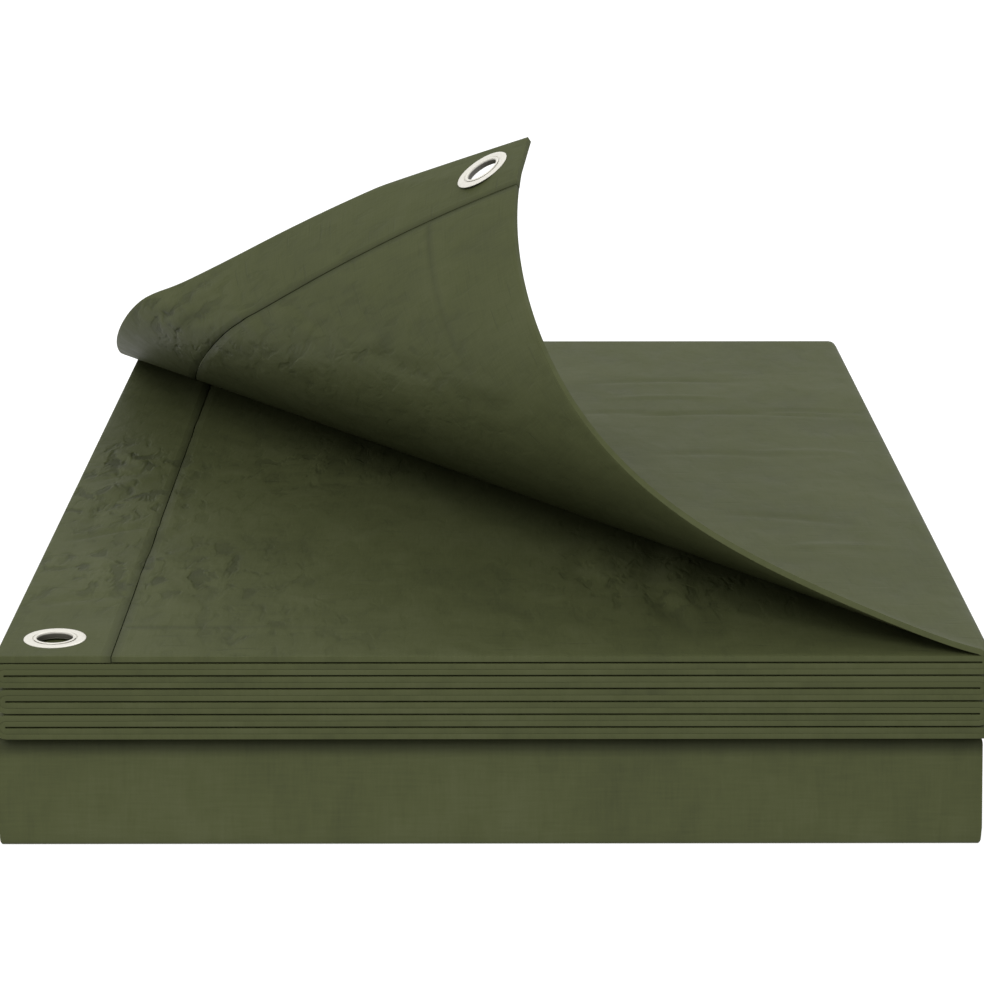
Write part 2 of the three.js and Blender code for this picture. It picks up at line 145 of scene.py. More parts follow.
# Main creases. "layer" 0 is the top layer and 1 the one under it; "inward" and "back" give
# the crease's middle from the front left corner; "turn" is its direction from the front edge in degrees;
# "length" and "width" are in millimetres and "rise" is its height, or its depth where it is below zero.
CREASES = (
    # layer, inward, back, turn, length, width, rise
    (1, 30, 173, 33, 46, 3, -0.9),
    (1, 54, 88, -67, 52, 4, 1.0),
    (1, 66, 104, -50, 34, 4, -0.7),
    (1, 62, 140, 45, 34, 4, 1.0),
    (1, 51, 160, 75, 40, 4, -0.9),
    (1, 51, 366, 66, 34, 4, 0.8),
    (1, 22, 291, -58, 40, 4, 0.9),
    (1, 14, 262, 40, 34, 4, -0.8),
    (1, 21, 246, 58, 36, 4, 0.9),
    (1, 19, 207, 80, 44, 4, -1.0),
    (1, 33, 112, -65, 46, 4, 0.9),
    (1, 26, 74, 20, 30, 4, -0.7),
    (1, 98, 284, -82, 44, 5, 0.8),
    (1, 114, 294, 80, 50, 5, 0.9),
    (1, 112, 250, 12, 52, 5, -0.7),
    (1, 100, 20, 74, 40, 5, 0.7),
    (1, 150, 170, 50, 70, 8, 0.8),
    (1, 232, 124, 88, 56, 5, -0.8),
    (1, 242, 120, 92, 60, 5, 0.8),
    (1, 229, 92, 66, 40, 5, 0.8),
    (1, 255, 96, 60, 44, 5, -0.8),
    (1, 266, 98, 91, 110, 5, -1.3),
    (1, 276, 92, 88, 90, 5, 0.9),
    (0, 263, 374, 0, 40, 3, -0.7),
    (0, 316, 371, 0, 90, 3, -0.9),
    (0, 352, 380, -4, 44, 3, -0.8),
    (0, 287, 408, 2, 50, 3, 0.7),
    (0, 284, 444, 3, 60, 3, -0.7),
    (0, 300, 292, 0, 44, 4, -0.7),
    (0, 341, 297, 3, 40, 4, 0.7),
    (0, 322, 180, -12, 46, 4, -0.8),
    (0, 340, 136, 6, 40, 4, 0.8),
    (0, 89, 123, -66, 40, 4, -1.1),
    (0, 80, 138, -60, 44, 4, 0.9),
    (0, 66, 153, -51, 30, 4, 0.9),
    (0, 60, 110, -63, 26, 4, -0.7),
    (0, 52, 200, -48, 40, 4, -1.0),
    (0, 66, 178, -62, 56, 5, 1.0),
    (0, 112, 98, -58, 56, 5, 0.9),
    (0, 140, 56, -51, 36, 5, -0.7),
    (0, 28, 250, -79, 34, 3, 1.0),
    (0, 20, 272, -85, 34, 3, -1.0),
    (0, 12, 290, -70, 30, 3, 1.0),
    (0, 13, 242, -88, 34, 3, -0.8),
)

# How far in from the left and front edges the creases reach their full rise.
STRAIGHT_EDGE = 12.0

# A crease bows by this share of its length, and this number sets how soon it dies out at its ends.
CREASE_BOW = 0.06
CREASE_ENDS = 1.7

# Where fine crinkles gather: the same places, with how far they spread and how strong they are. The
# strength also sets the crinkles' bump and the painted shade and highlight in the cloth's colour there.
CRINKLES = (
    # layer, inward, back, spread, strength
    (0, 18, 285, 30, 0.8),
    (0, 26, 245, 34, 0.5),
    (0, 60, 190, 40, 0.35),
    (0, 95, 125, 38, 0.3),
    (0, 45, 115, 24, 0.2),
    (0, 125, 90, 34, 0.2),
    (1, 14, 290, 40, 1.0),
    (1, 18, 220, 40, 1.0),
    (1, 30, 110, 44, 0.9),
    (1, 60, 110, 46, 0.8),
    (1, 100, 280, 40, 0.5),
    (1, 100, 40, 44, 0.4),
    (1, 262, 100, 44, 0.6),
)


def column(table, name, names):
    return np.array([row[names.index(name)] for row in table], float)


def smoothed(values, window):
    """Rounds the corners of a line of values, and keeps its two ends."""
    half = window // 2
    padded = np.concatenate([
        2 * values[0] - values[1:half + 1][::-1],
        values,
        2 * values[-1] - values[-half - 1:-1][::-1],
    ])
    return np.convolve(padded, np.ones(window) / window, "valid")


def bend_motions():
    """The bend lines, close together: their places, the motion that the cloth beyond each has made, and
    the bow at each, for one unit of the way from its front end to its left end."""
    rows = np.arange(len(BEND_LINES))
    place = np.linspace(0, rows[-1], BEND_STEPS + 1)
    columns = [np.interp(place, rows, column(BEND_LINES, name, BEND_COLUMNS)) for name in BEND_COLUMNS]
    left, front, turn, sag = (smoothed(values, BEND_SMOOTHING) for values in columns)
    motion = Matrix.Identity(4)
    motions = [np.array(motion)]
    lines = []
    bows = []
    for i in range(BEND_STEPS):
        here_left = (left[i] + left[i + 1]) / 2
        here_front = (front[i] + front[i + 1]) / 2
        axis = Vector((-here_front, here_left, 0)).normalized()
        foot = Matrix.Translation((here_front, 0, 0))
        step = Matrix.Rotation(math.radians(turn[i + 1] - turn[i]), 4, axis)
        before = motion.to_3x3() @ Vector((0, 0, 1))
        motion = motion @ foot @ step @ foot.inverted()
        after = motion.to_3x3() @ Vector((0, 0, 1))
        motions.append(np.array(motion))
        lines.append((here_left, here_front))
        bows.append((before + after).normalized() * (sag[i] + sag[i + 1]) / 2 / here_left)
    return np.array(lines), np.array(motions), np.array(bows)


BEND_PLACES, BEND_MOTIONS, BEND_BOWS = bend_motions()


def drawn_flat(inward, back):
    """Where a point of the top layer lies when drawn flat, before the corner is turned."""
    fade_x = np.maximum(1 - inward / CORNER_REACH[0], 0)
    fade_y = np.maximum(1 - back / CORNER_REACH[1], 0)
    start, end = OVERHANG_BACK
    to_back = np.clip((back - start) / (end - start), 0, 1)
    to_right = np.clip((CORNER_REACH[0] - inward) / (CORNER_REACH[0] - OVERHANG_FADES_FROM), 0, 1)
    x = inward + CORNER_IN[0] * fade_x * fade_y ** 2 + OVERHANG * to_back * to_right
    return x, back + CORNER_IN[1] * fade_x * fade_y


def on_top_layer(inward, back, rise):
    """The place of a point of the top layer, "rise" above its middle."""
    x, y = drawn_flat(inward, back)
    before = x[:, None] / BEND_PLACES[None, :, 1] + y[:, None] / BEND_PLACES[None, :, 0] - 1
    passed = (before < 0).sum(axis=1)
    flat = np.stack([x, y, rise, np.ones_like(x)], axis=1)
    moved = np.einsum("nij,nj->ni", BEND_MOTIONS[passed], flat)[:, :3]
    last = np.clip(passed - 1, 0, BEND_STEPS - 1)
    coming = np.clip(passed, 0, BEND_STEPS - 1)
    every = np.arange(len(x))
    gone = np.maximum(-before[every, last], 0)
    left = np.maximum(before[every, coming], 0)
    share = (gone / np.maximum(gone + left, 1e-9))[:, None]
    bow = BEND_BOWS[last] * (1 - share) + BEND_BOWS[coming] * share
    moved += np.where((passed > 0)[:, None], bow * y[:, None], 0)
    return moved + [-HALF_WIDTH - OVERHANG, -HALF_DEPTH, TOP_BAND_Z + LAYER_OFFSET]


def crease_rise(layer, inward, back):
    """How far the main creases lift a layer at each point. The left and front edges stay straight."""
    rise = np.zeros_like(inward)
    for row in CREASES:
        its_layer, at_in, at_back, turn, length, width, height = row
        if its_layer != layer:
            continue
        angle = math.radians(turn)
        along = (inward - at_in) * math.cos(angle) + (back - at_back) * math.sin(angle)
        bow = CREASE_BOW * length * np.cos(along / length * math.pi)
        across = (back - at_back) * math.cos(angle) - (inward - at_in) * math.sin(angle) - bow
        rise += height * np.exp(-((across / width) ** 2) - (along / length * CREASE_ENDS) ** 4)
    return rise * np.clip(np.minimum(inward, back) / STRAIGHT_EDGE, 0, 1)


def crinkle_strength(layer, inward, back):
    strength = np.zeros_like(inward)
    for its_layer, at_in, at_back, spread, most in CRINKLES:
        if its_layer == layer:
            away = (inward - at_in) ** 2 + (back - at_back) ** 2
            strength = np.maximum(strength, most * np.exp(-away / spread ** 2))
    return strength


def spaced(start, end, step):
    return np.linspace(start, end, max(int(round(abs(end - start) / step)), 1) + 1)


class Section:
    """Points across a double layer, from the front edge of its upper layer round the back fold to the
    front edge of its lower layer: y, height as a share of the layer's offset, and length so far."""

    def __init__(self, step):
        back = HALF_DEPTH - LAYER_OFFSET - LAYER / 2
        ys = spaced(-HALF_DEPTH, back, step)
        angles = np.linspace(0, math.pi, FOLD_STEPS + 1)[1:-1]
        self.y = np.concatenate([ys, back + LAYER_OFFSET * np.sin(angles), ys[::-1]])
        self.height = np.concatenate([np.ones_like(ys), np.cos(angles), -np.ones_like(ys)])
        self.upper = len(ys)
        flat = np.stack([self.y, self.height * LAYER_OFFSET], axis=1)
        self.length = np.concatenate([[0], np.cumsum(np.linalg.norm(np.diff(flat, axis=0), axis=1))])

    def coarse(self):
        n = len(self.y)
        ends = [0, self.upper - 1, n - self.upper, n - 1]
        every = list(range(0, self.upper, COARSE_SHARE))
        fold = list(range(self.upper - 1, n - self.upper, 2))
        return sorted(set(every + [n - 1 - i for i in every] + fold + ends))


class Cloth:
    """Gathers rows of points into one sheet, with its own lengths as a UV map."""

    def __init__(self):
        self.points = []
        self.uvs = []
        self.crinkle = []
        self.faces = []
        self.last = None

    def start(self):
        self.last = None

    def row(self, points, u, v, picked, crinkle=None):
        """Adds a row of points, and faces between it and the last one. "picked" numbers the places of
        the finest row that this row has, so rows of different fineness still share their edges."""
        first = len(self.points)
        self.points.extend(points)
        self.uvs.extend(zip(np.broadcast_to(u, len(points)), v))
        self.crinkle.extend(np.zeros(len(points)) if crinkle is None else crinkle)
        here = dict(zip(picked, range(first, first + len(points))))
        if self.last:
            shared = sorted(set(here) & set(self.last))
            for start, end in zip(shared, shared[1:]):
                before = [self.last[k] for k in range(start, end + 1) if k in self.last]
                after = [here[k] for k in range(start, end + 1) if k in here]
                self.faces.append(before + after[::-1])
        self.last = here

    def mesh(self, name):
        data = bpy.data.meshes.new(name)
        data.from_pydata([tuple(p * MM) for p in self.points], [], self.faces)
        uv = data.uv_layers.new(name="cloth")
        corner_vertex = np.zeros(len(data.loops), int)
        data.loops.foreach_get("vertex_index", corner_vertex)
        uv.data.foreach_set("uv", (np.array(self.uvs)[corner_vertex] * MM).ravel())
        crinkle = data.attributes.new("crinkle", "FLOAT", "POINT")
        crinkle.data.foreach_set("value", np.array(self.crinkle, float))
        return data


def top_band_row(section, inward):
    """A row of the top double layer: its turned upper layer, the back fold and its lower layer."""
    n = section.upper
    back = section.y + HALF_DEPTH
    across = np.full(n, inward)
    rise = crease_rise(0, across, back[:n])
    upper = on_top_layer(across, back[:n], rise)
    fold_x, _ = drawn_flat(np.array([inward]), np.array([DEPTH]))
    rest = len(section.y) - n
    lower_back = back[n:]
    lower_rise = np.where(section.height[n:] <= -1, crease_rise(1, np.full(rest, inward), lower_back), 0)
    lower = np.stack([
        np.full(rest, fold_x[0] - HALF_WIDTH - OVERHANG),
        section.y[n:],
        TOP_BAND_Z + LAYER_OFFSET * section.height[n:] + lower_rise,
    ], axis=1)
    crinkle = np.concatenate([
        crinkle_strength(0, across, back[:n]),
        crinkle_strength(1, np.full(rest, inward), lower_back),
    ])
    return np.concatenate([upper, lower]), crinkle


def make_piece(data, thickness, bevel):
    """Gives a sheet its thickness and soft edges."""
    piece = bpy.data.objects.new(data.name, data)
    bpy.context.scene.collection.objects.link(piece)
    bpy.ops.object.select_all(action="DESELECT")
    bpy.context.view_layer.objects.active = piece
    piece.select_set(True)
    solid = piece.modifiers.new("thickness", "SOLIDIFY")
    solid.thickness = thickness * MM
    solid.offset = 0
    bpy.ops.object.modifier_apply(modifier=solid.name)
    soft = piece.modifiers.new("soft edge", "BEVEL")
    soft.width = bevel * MM
    soft.segments = 2
    soft.limit_method = "ANGLE"
    soft.angle_limit = math.radians(60)
    bpy.ops.object.modifier_apply(modifier=soft.name)
    bpy.ops.object.mode_set(mode="EDIT")
    bpy.ops.mesh.select_all(action="SELECT")
    bpy.ops.mesh.normals_make_consistent(inside=False)
    bpy.ops.object.mode_set(mode="OBJECT")
    bpy.ops.object.shade_smooth_by_angle(angle=math.radians(50))
    return piece


def stack_rows(cloth, section):
    """The stack: one double layer that runs left and right in turn, from the top down."""
    fine = list(range(len(section.y)))
    coarse = section.coarse()
    for inward in spaced(HEM + SEAM_GAP, FLAT_RIGHT, CLOTH_STEP):
        points, crinkle = top_band_row(section, inward)
        cloth.row(points, inward, section.length, fine, crinkle)
    reach = HALF_WIDTH - BAND / 2 - BAND_PITCH / 2
    run = FLAT_RIGHT

    def band_row(x, z, normal, picked, travelled, shortfall):
        height = section.height[picked] * LAYER_OFFSET
        y = section.y[picked] - np.where(section.y[picked] > 0, shortfall, 0)
        points = np.stack([x + normal[0] * height, y, z + normal[1] * height], axis=1)
        cloth.row(points, travelled, section.length[picked], picked)

    for i, (short, back_short) in enumerate(zip(SIDE_SHORTFALL, BACK_SHORTFALL)):
        side = 1 if i % 2 == 0 else -1
        z = TOP_BAND_Z - i * BAND_PITCH
        end = side * (reach - short)
        if i > 0:
            start = -side * (reach - SIDE_SHORTFALL[i - 1])
            for x in np.linspace(start, end, COARSE_ROWS + 1)[1:-1]:
                run += 2 * reach / COARSE_ROWS
                band_row(x, z, (0, side), coarse, run, back_short)
        if i == BAND_COUNT - 1:
            end = side * (HALF_WIDTH - short)
            band_row(end, z, (0, side), coarse, run + LOWEST_LAYER_MAP_END, back_short)
            break
        for k in range(FOLD_STEPS + 1):
            angle = math.pi * k / FOLD_STEPS
            radius = BAND_PITCH / 2
            normal = (side * math.sin(angle), math.cos(angle))
            run += radius * math.pi / FOLD_STEPS
            outward = normal if side > 0 else (-normal[0], -normal[1])
            band_row(
                end + side * radius * math.sin(angle),
                z - radius + radius * math.cos(angle),
                outward,
                fine if i == 0 and k == 0 else coarse,
                run,
                back_short,
            )


def bundle_path():
    """The bundle's middle line in y and z: over the top, round the front, back along the bottom, then up
    through its inner layers."""
    half = BUNDLE_LAYER / 2
    top_r = BUNDLE_TOP_ROUND - half
    top_y, top_z = BUNDLE_TOP_FRONT + BUNDLE_TOP_ROUND, BUNDLE_HEIGHT - BUNDLE_TOP_ROUND
    foot_r = BUNDLE_FOOT_ROUND - half
    foot_y, foot_z = BUNDLE_FOOT_FRONT + BUNDLE_FOOT_ROUND, BUNDLE_FOOT_ROUND
    path = [(y, BUNDLE_HEIGHT - half) for y in spaced(BUNDLE_BACK, top_y, LONG_STEP)]
    for k in range(1, ROUND_STEPS + 1):
        angle = math.pi / 2 + math.pi / 2 * k / ROUND_STEPS
        path.append((top_y + top_r * math.cos(angle), top_z + top_r * math.sin(angle)))
    down = np.linspace(0, 1, ROUND_STEPS + 1)[1:-1]
    front_y = top_y - top_r + (foot_y - foot_r - top_y + top_r) * down
    path += list(zip(front_y, top_z + (foot_z - top_z) * down))
    for k in range(FOOT_STEPS + 1):
        angle = math.pi + math.pi / 2 * k / FOOT_STEPS
        path.append((foot_y + foot_r * math.cos(angle), foot_z + foot_r * math.sin(angle)))
    path += [(y, half) for y in spaced(foot_y, BUNDLE_BACK - INNER_SHORTFALL[0], LONG_STEP)[1:-1]]
    for i, short in enumerate(INNER_SHORTFALL):
        side = 1 if i % 2 == 0 else -1
        z = half + i * INNER_PITCH
        y = BUNDLE_BACK - short if side > 0 else INNER_FRONT + short
        for k in range(FOLD_STEPS + 1):
            angle = math.pi * k / FOLD_STEPS
            radius = INNER_PITCH / 2
            path.append((y + side * radius * math.sin(angle), z + radius - radius * math.cos(angle)))
    path.append((INNER_FRONT + 2, half + len(INNER_SHORTFALL) * INNER_PITCH))
    return np.array(path)


def bundle_rows(cloth):
    """The bundle under the stack, rounded at its left and right."""
    cloth.start()
    path = bundle_path()
    run = np.concatenate([[0], np.cumsum(np.linalg.norm(np.diff(path, axis=0), axis=1))])
    r = BUNDLE_SIDE_ROUND
    for (y, z), travelled in zip(path, run):
        into = max(r - z, r - (BUNDLE_HEIGHT - z), 0)
        inset = r - math.sqrt(max(r * r - into * into, 0))
        x = np.linspace(BUNDLE_LEFT + inset, BUNDLE_RIGHT - inset, BUNDLE_ROW_POINTS)
        points = np.stack([x, np.full_like(x, y), np.full_like(x, z)], axis=1)
        travelled_by = np.full_like(x, travelled + BUNDLE_MAP_START)
        cloth.row(points, x + BUNDLE_MAP_START, travelled_by, list(range(len(x))))


def last_turn_rows(cloth):
    """The short turn from the lowest double layer down into the bundle's top layer."""
    cloth.start()
    top = TOP_BAND_Z - (BAND_COUNT - 1) * BAND_PITCH
    bottom = BUNDLE_HEIGHT - BUNDLE_LAYER / 2
    x = HALF_WIDTH - LAST_TURN_IN
    middle, radius = (top + bottom) / 2, (top - bottom) / 2
    path = [(x - LAST_TURN_LEG, top)]
    for k in range(FOLD_STEPS + 1):
        angle = math.pi * k / FOLD_STEPS
        path.append((x + radius * math.sin(angle), middle + radius * math.cos(angle)))
    path.append((x - LAST_TURN_LEG, bottom))
    ys = spaced(-HALF_DEPTH + LAST_TURN_FRONT_SHORT, HALF_DEPTH - LAST_TURN_BACK_SHORT, LONG_STEP)
    for k, (px, pz) in enumerate(path):
        points = np.stack([np.full_like(ys, px), ys, np.full_like(ys, pz)], axis=1)
        on_map = LAST_TURN_MAP_START + LAST_TURN_MAP_STEP * k
        cloth.row(points, on_map, ys + HALF_DEPTH, list(range(len(ys))))


def make_tarp_cloth():
    cloth = Cloth()
    section = Section(CLOTH_STEP)
    stack_rows(cloth, section)
    last_turn_rows(cloth)
    bundle_rows(cloth)
    return make_piece(cloth.mesh("tarp_cloth"), LAYER, CLOTH_EDGE_ROUND)


def make_side_hem():
    """The doubled strip along the left edge, on the top layer and on the one under it."""
    cloth = Cloth()
    section = Section(HEM_STEP)
    fine = list(range(len(section.y)))
    for inward in spaced(0, HEM, HEM_STEP):
        points, crinkle = top_band_row(section, inward)
        cloth.row(points, inward, section.length, fine, crinkle)
    centres = [
        on_top_layer(np.array([EYELET_IN]), np.array([TURNED_EYELET_BACK]), np.array([0.0]))[0],
        np.array([-HALF_WIDTH + EYELET_IN, -HALF_DEPTH + LOWER_EYELET_BACK, TOP_BAND_Z - LAYER_OFFSET]),
    ]
    points = np.array(cloth.points)
    near = np.zeros(len(points), bool)
    for centre in centres:
        near |= np.linalg.norm(points - centre, axis=1) < EYELET_CLEARING
    cloth.faces = [face for face in cloth.faces if not near[face].any()]
    return make_piece(cloth.mesh("side_hem_strip"), HEM_LAYER, HEM_EDGE_ROUND)


def turned_ring(name, profile):
    """A ring whose section is the profile of radius and height: a circle, extruded from point to point."""
    bpy.ops.object.select_all(action="DESELECT")
    radius, height = profile[0]
    bpy.ops.mesh.primitive_circle_add(vertices=TURN_STEPS, radius=radius * MM, location=(0, 0, 0))
    ring = bpy.context.object
    ring.name = ring.data.name = name
    bpy.ops.object.mode_set(mode="EDIT")
    bpy.ops.mesh.select_all(action="SELECT")
    bpy.ops.transform.translate(value=(0, 0, height * MM))
    for next_radius, next_height in profile[1:]:
        bpy.ops.mesh.extrude_edges_move()
        grow = next_radius / radius
        bpy.ops.transform.resize(value=(grow, grow, 1), center_override=(0, 0, height * MM))
        bpy.ops.transform.translate(value=(0, 0, (next_height - height) * MM))
        radius, height = next_radius, next_height
    bpy.ops.mesh.select_all(action="SELECT")
    bpy.ops.mesh.remove_doubles(threshold=0.00001)
    bpy.ops.mesh.normals_make_consistent(inside=False)
    bpy.ops.object.mode_set(mode="OBJECT")
    bpy.ops.object.shade_smooth_by_angle(angle=math.radians(40))
    places = np.zeros(len(ring.data.vertices) * 3)
    ring.data.vertices.foreach_get("co", places)
    x, y, z = places.reshape(-1, 3).T / MM
    # Marks the inner wall of the hole for the painted shade that the eyelet finish puts there.
    inside = (np.hypot(x, y) < HOLE_R + BORE_SLACK) & (z < BORE_TOP)
    bore = ring.data.attributes.new("bore", "FLOAT", "POINT")
    bore.data.foreach_set("value", inside.astype(float))
    return ring


def eyelet_profile():
    """The barrel, its flange below the hem and its thin rolled lip above the washer."""
    lip = HEM_SOLID + 0.85
    return [
        (HOLE_R, 0.5), (HOLE_R + 0.15, 0.2), (HOLE_R + 0.5, 0),
        (FLANGE_R - 0.6, 0), (FLANGE_R - 0.1, 0.2), (FLANGE_R, 0.45), (FLANGE_R - 0.2, 0.7),
        (BARREL_R + 0.4, 0.7), (BARREL_R, 0.9), (BARREL_R, lip - 0.1), (BARREL_R + 0.4, lip - 0.1),
        (BARREL_R + 0.5, lip + 0.05), (BARREL_R + 0.4, lip + 0.2), (BARREL_R, lip + 0.3),
        (HOLE_R + 0.4, lip + 0.25), (HOLE_R + 0.1, lip + 0.05),
        (HOLE_R, lip - 0.3), (HOLE_R, lip - 0.8), (HOLE_R, 0.5),
    ]


def washer_profile():
    """The washer that the lip is rolled over, with a thin groove near the lip."""
    low = HEM_SOLID + 0.25
    inner = BARREL_R + 0.35
    return [
        (inner, low), (FLANGE_R - 0.3, low), (FLANGE_R, low + 0.12), (FLANGE_R + 0.02, low + 0.3),
        (FLANGE_R - 0.2, low + 0.5), (FLANGE_R - 0.8, low + 0.62), (BARREL_R + 1.4, low + 0.65),
        (BARREL_R + 1.05, low + 0.55), (BARREL_R + 0.95, low + 0.25), (inner, low + 0.25), (inner, low),
    ]


def turned_eyelet_place():
    """The place and tilt of the eyelet in the turned corner, on the side that shows."""
    inward, back = np.array([EYELET_IN]), np.array([TURNED_EYELET_BACK])
    middle = Vector(on_top_layer(inward, back, np.array([0.0]))[0])
    across = Vector(BEND_MOTIONS[-1][:3, 0])
    along = Vector(BEND_MOTIONS[-1][:3, 1] + BEND_BOWS[-1])
    below = along.cross(across).normalized()
    turned = Matrix((across, below.cross(across), below)).transposed().to_4x4()
    return Matrix.Translation(middle) @ turned @ Matrix.Translation((0, 0, -HEM_SOLID / 2))


def lower_eyelet_place():
    return Matrix.Translation((
        -HALF_WIDTH + EYELET_IN,
        -HALF_DEPTH + LOWER_EYELET_BACK,
        TOP_BAND_Z - BAND / 2,
    ))


def in_metres(place):
    moved = place.copy()
    moved.translation = place.translation * MM
    return moved


class Reading:
    """A node's output that can be used in sums."""

    def __init__(self, graph, socket):
        self.graph = graph
        self.socket = socket

    def _sum(self, operation, first, second=None):
        inputs = {0: first} if second is None else {0: first, 1: second}
        return self.graph.node("ShaderNodeMath", {"operation": operation}, inputs)

    def __add__(self, other):
        return self._sum("ADD", self, other)

    def __radd__(self, other):
        return self._sum("ADD", other, self)

    def __sub__(self, other):
        return self._sum("SUBTRACT", self, other)

    def __rsub__(self, other):
        return self._sum("SUBTRACT", other, self)

    def __mul__(self, other):
        return self._sum("MULTIPLY", self, other)

    def __rmul__(self, other):
        return self._sum("MULTIPLY", other, self)

    def __truediv__(self, other):
        return self._sum("DIVIDE", self, other)

    def at_least(self, other):
        return self._sum("MAXIMUM", self, other)

    def at_most(self, other):
        return self._sum("MINIMUM", self, other)

    def size(self):
        return self._sum("ABSOLUTE", self)


class Finish:
    """A material's nodes, with one method that adds any of them."""

    def __init__(self, name):
        self.material = bpy.data.materials.new(name)
        self.material.use_nodes = True
        self.tree = self.material.node_tree
        self.tree.nodes.clear()

    def node(self, kind, settings=None, inputs=None, output=0):
        made = self.tree.nodes.new(kind)
        for key, value in (settings or {}).items():
            if key == "stops":
                self.set_stops(made, value)
            else:
                setattr(made, key, value)
        for key, value in (inputs or {}).items():
            if isinstance(value, Reading):
                self.tree.links.new(value.socket, made.inputs[key])
            else:
                made.inputs[key].default_value = value
        return Reading(self, made.outputs[output]) if len(made.outputs) else made

    @staticmethod
    def set_stops(ramp, stops):
        elements = ramp.color_ramp.elements
        while len(elements) < len(stops):
            elements.new(0.5)
        for element, (position, level) in zip(elements, stops):
            element.position = position
            element.color = (level, level, level, 1)

    def ramp(self, value, stops):
        return self.node("ShaderNodeValToRGB", {"stops": stops}, {0: value})

    def noise(self, vector, scale, detail=3.0, roughness=0.5, distortion=0.0):
        inputs = {
            "Vector": vector,
            "Scale": scale,
            "Detail": detail,
            "Roughness": roughness,
            "Distortion": distortion,
        }
        return self.node("ShaderNodeTexNoise", None, inputs)

    def mapped(self, vector, scale, turn=0.0, offset=(0, 0, 0)):
        inputs = {"Vector": vector, "Location": offset, "Rotation": (0, 0, turn), "Scale": scale}
        return self.node("ShaderNodeMapping", None, inputs)

    def mix_colour(self, factor, first, second):
        settings = {"data_type": "RGBA", "blend_type": "MIX"}
        return self.node("ShaderNodeMix", settings, {0: factor, 6: first, 7: second}, output=2)

    def finish(self, shader):
        self.node("ShaderNodeOutputMaterial", None, {"Surface": shader})
        return self.material


def linear(red, green, blue):
    """A colour given as on a screen, 0 to 255, as the light it stands for."""
    parts = [value / 255 for value in (red, green, blue)]
    return tuple(p / 12.92 if p <= 0.04045 else ((p + 0.055) / 1.055) ** 2.4 for p in parts) + (1,)


# OLIVE_LIGHT and OLIVE_DARK give random tone, and also the painted highlight and painted shade in crinkled
# places; OLIVE_DARK also darkens seams and press lines. OLIVE_SHADE is the colour of painted shade.
OLIVE = linear(66, 70, 44)
OLIVE_DARK = linear(47, 50, 34)
OLIVE_LIGHT = linear(80, 83, 59)
OLIVE_SHADE = linear(24, 25, 19)

# The bundle lies beyond this place on the cloth map.
BUNDLE_BEYOND = 3.0

# Painted shade on the bundle's wrap where it bends down from under the stack: the places along the wrap,
# from the bundle's back edge, and how dark the painted shade is at each.
SHADE_UNDER_STACK_FROM = 4.525
SHADE_UNDER_STACK_STOPS = [(0.0, 0.0), (0.006, 1.0), (0.0115, 0.9), (0.0155, 0.0)]

# The front hem's seam, from the front edge on the top layer and on the layer under it, and how far in from
# the left edge it fades out.
UPPER_SEAM_BACK = 0.056
LOWER_SEAM_BACK = 0.037
SEAM_FADES_BY = 0.17


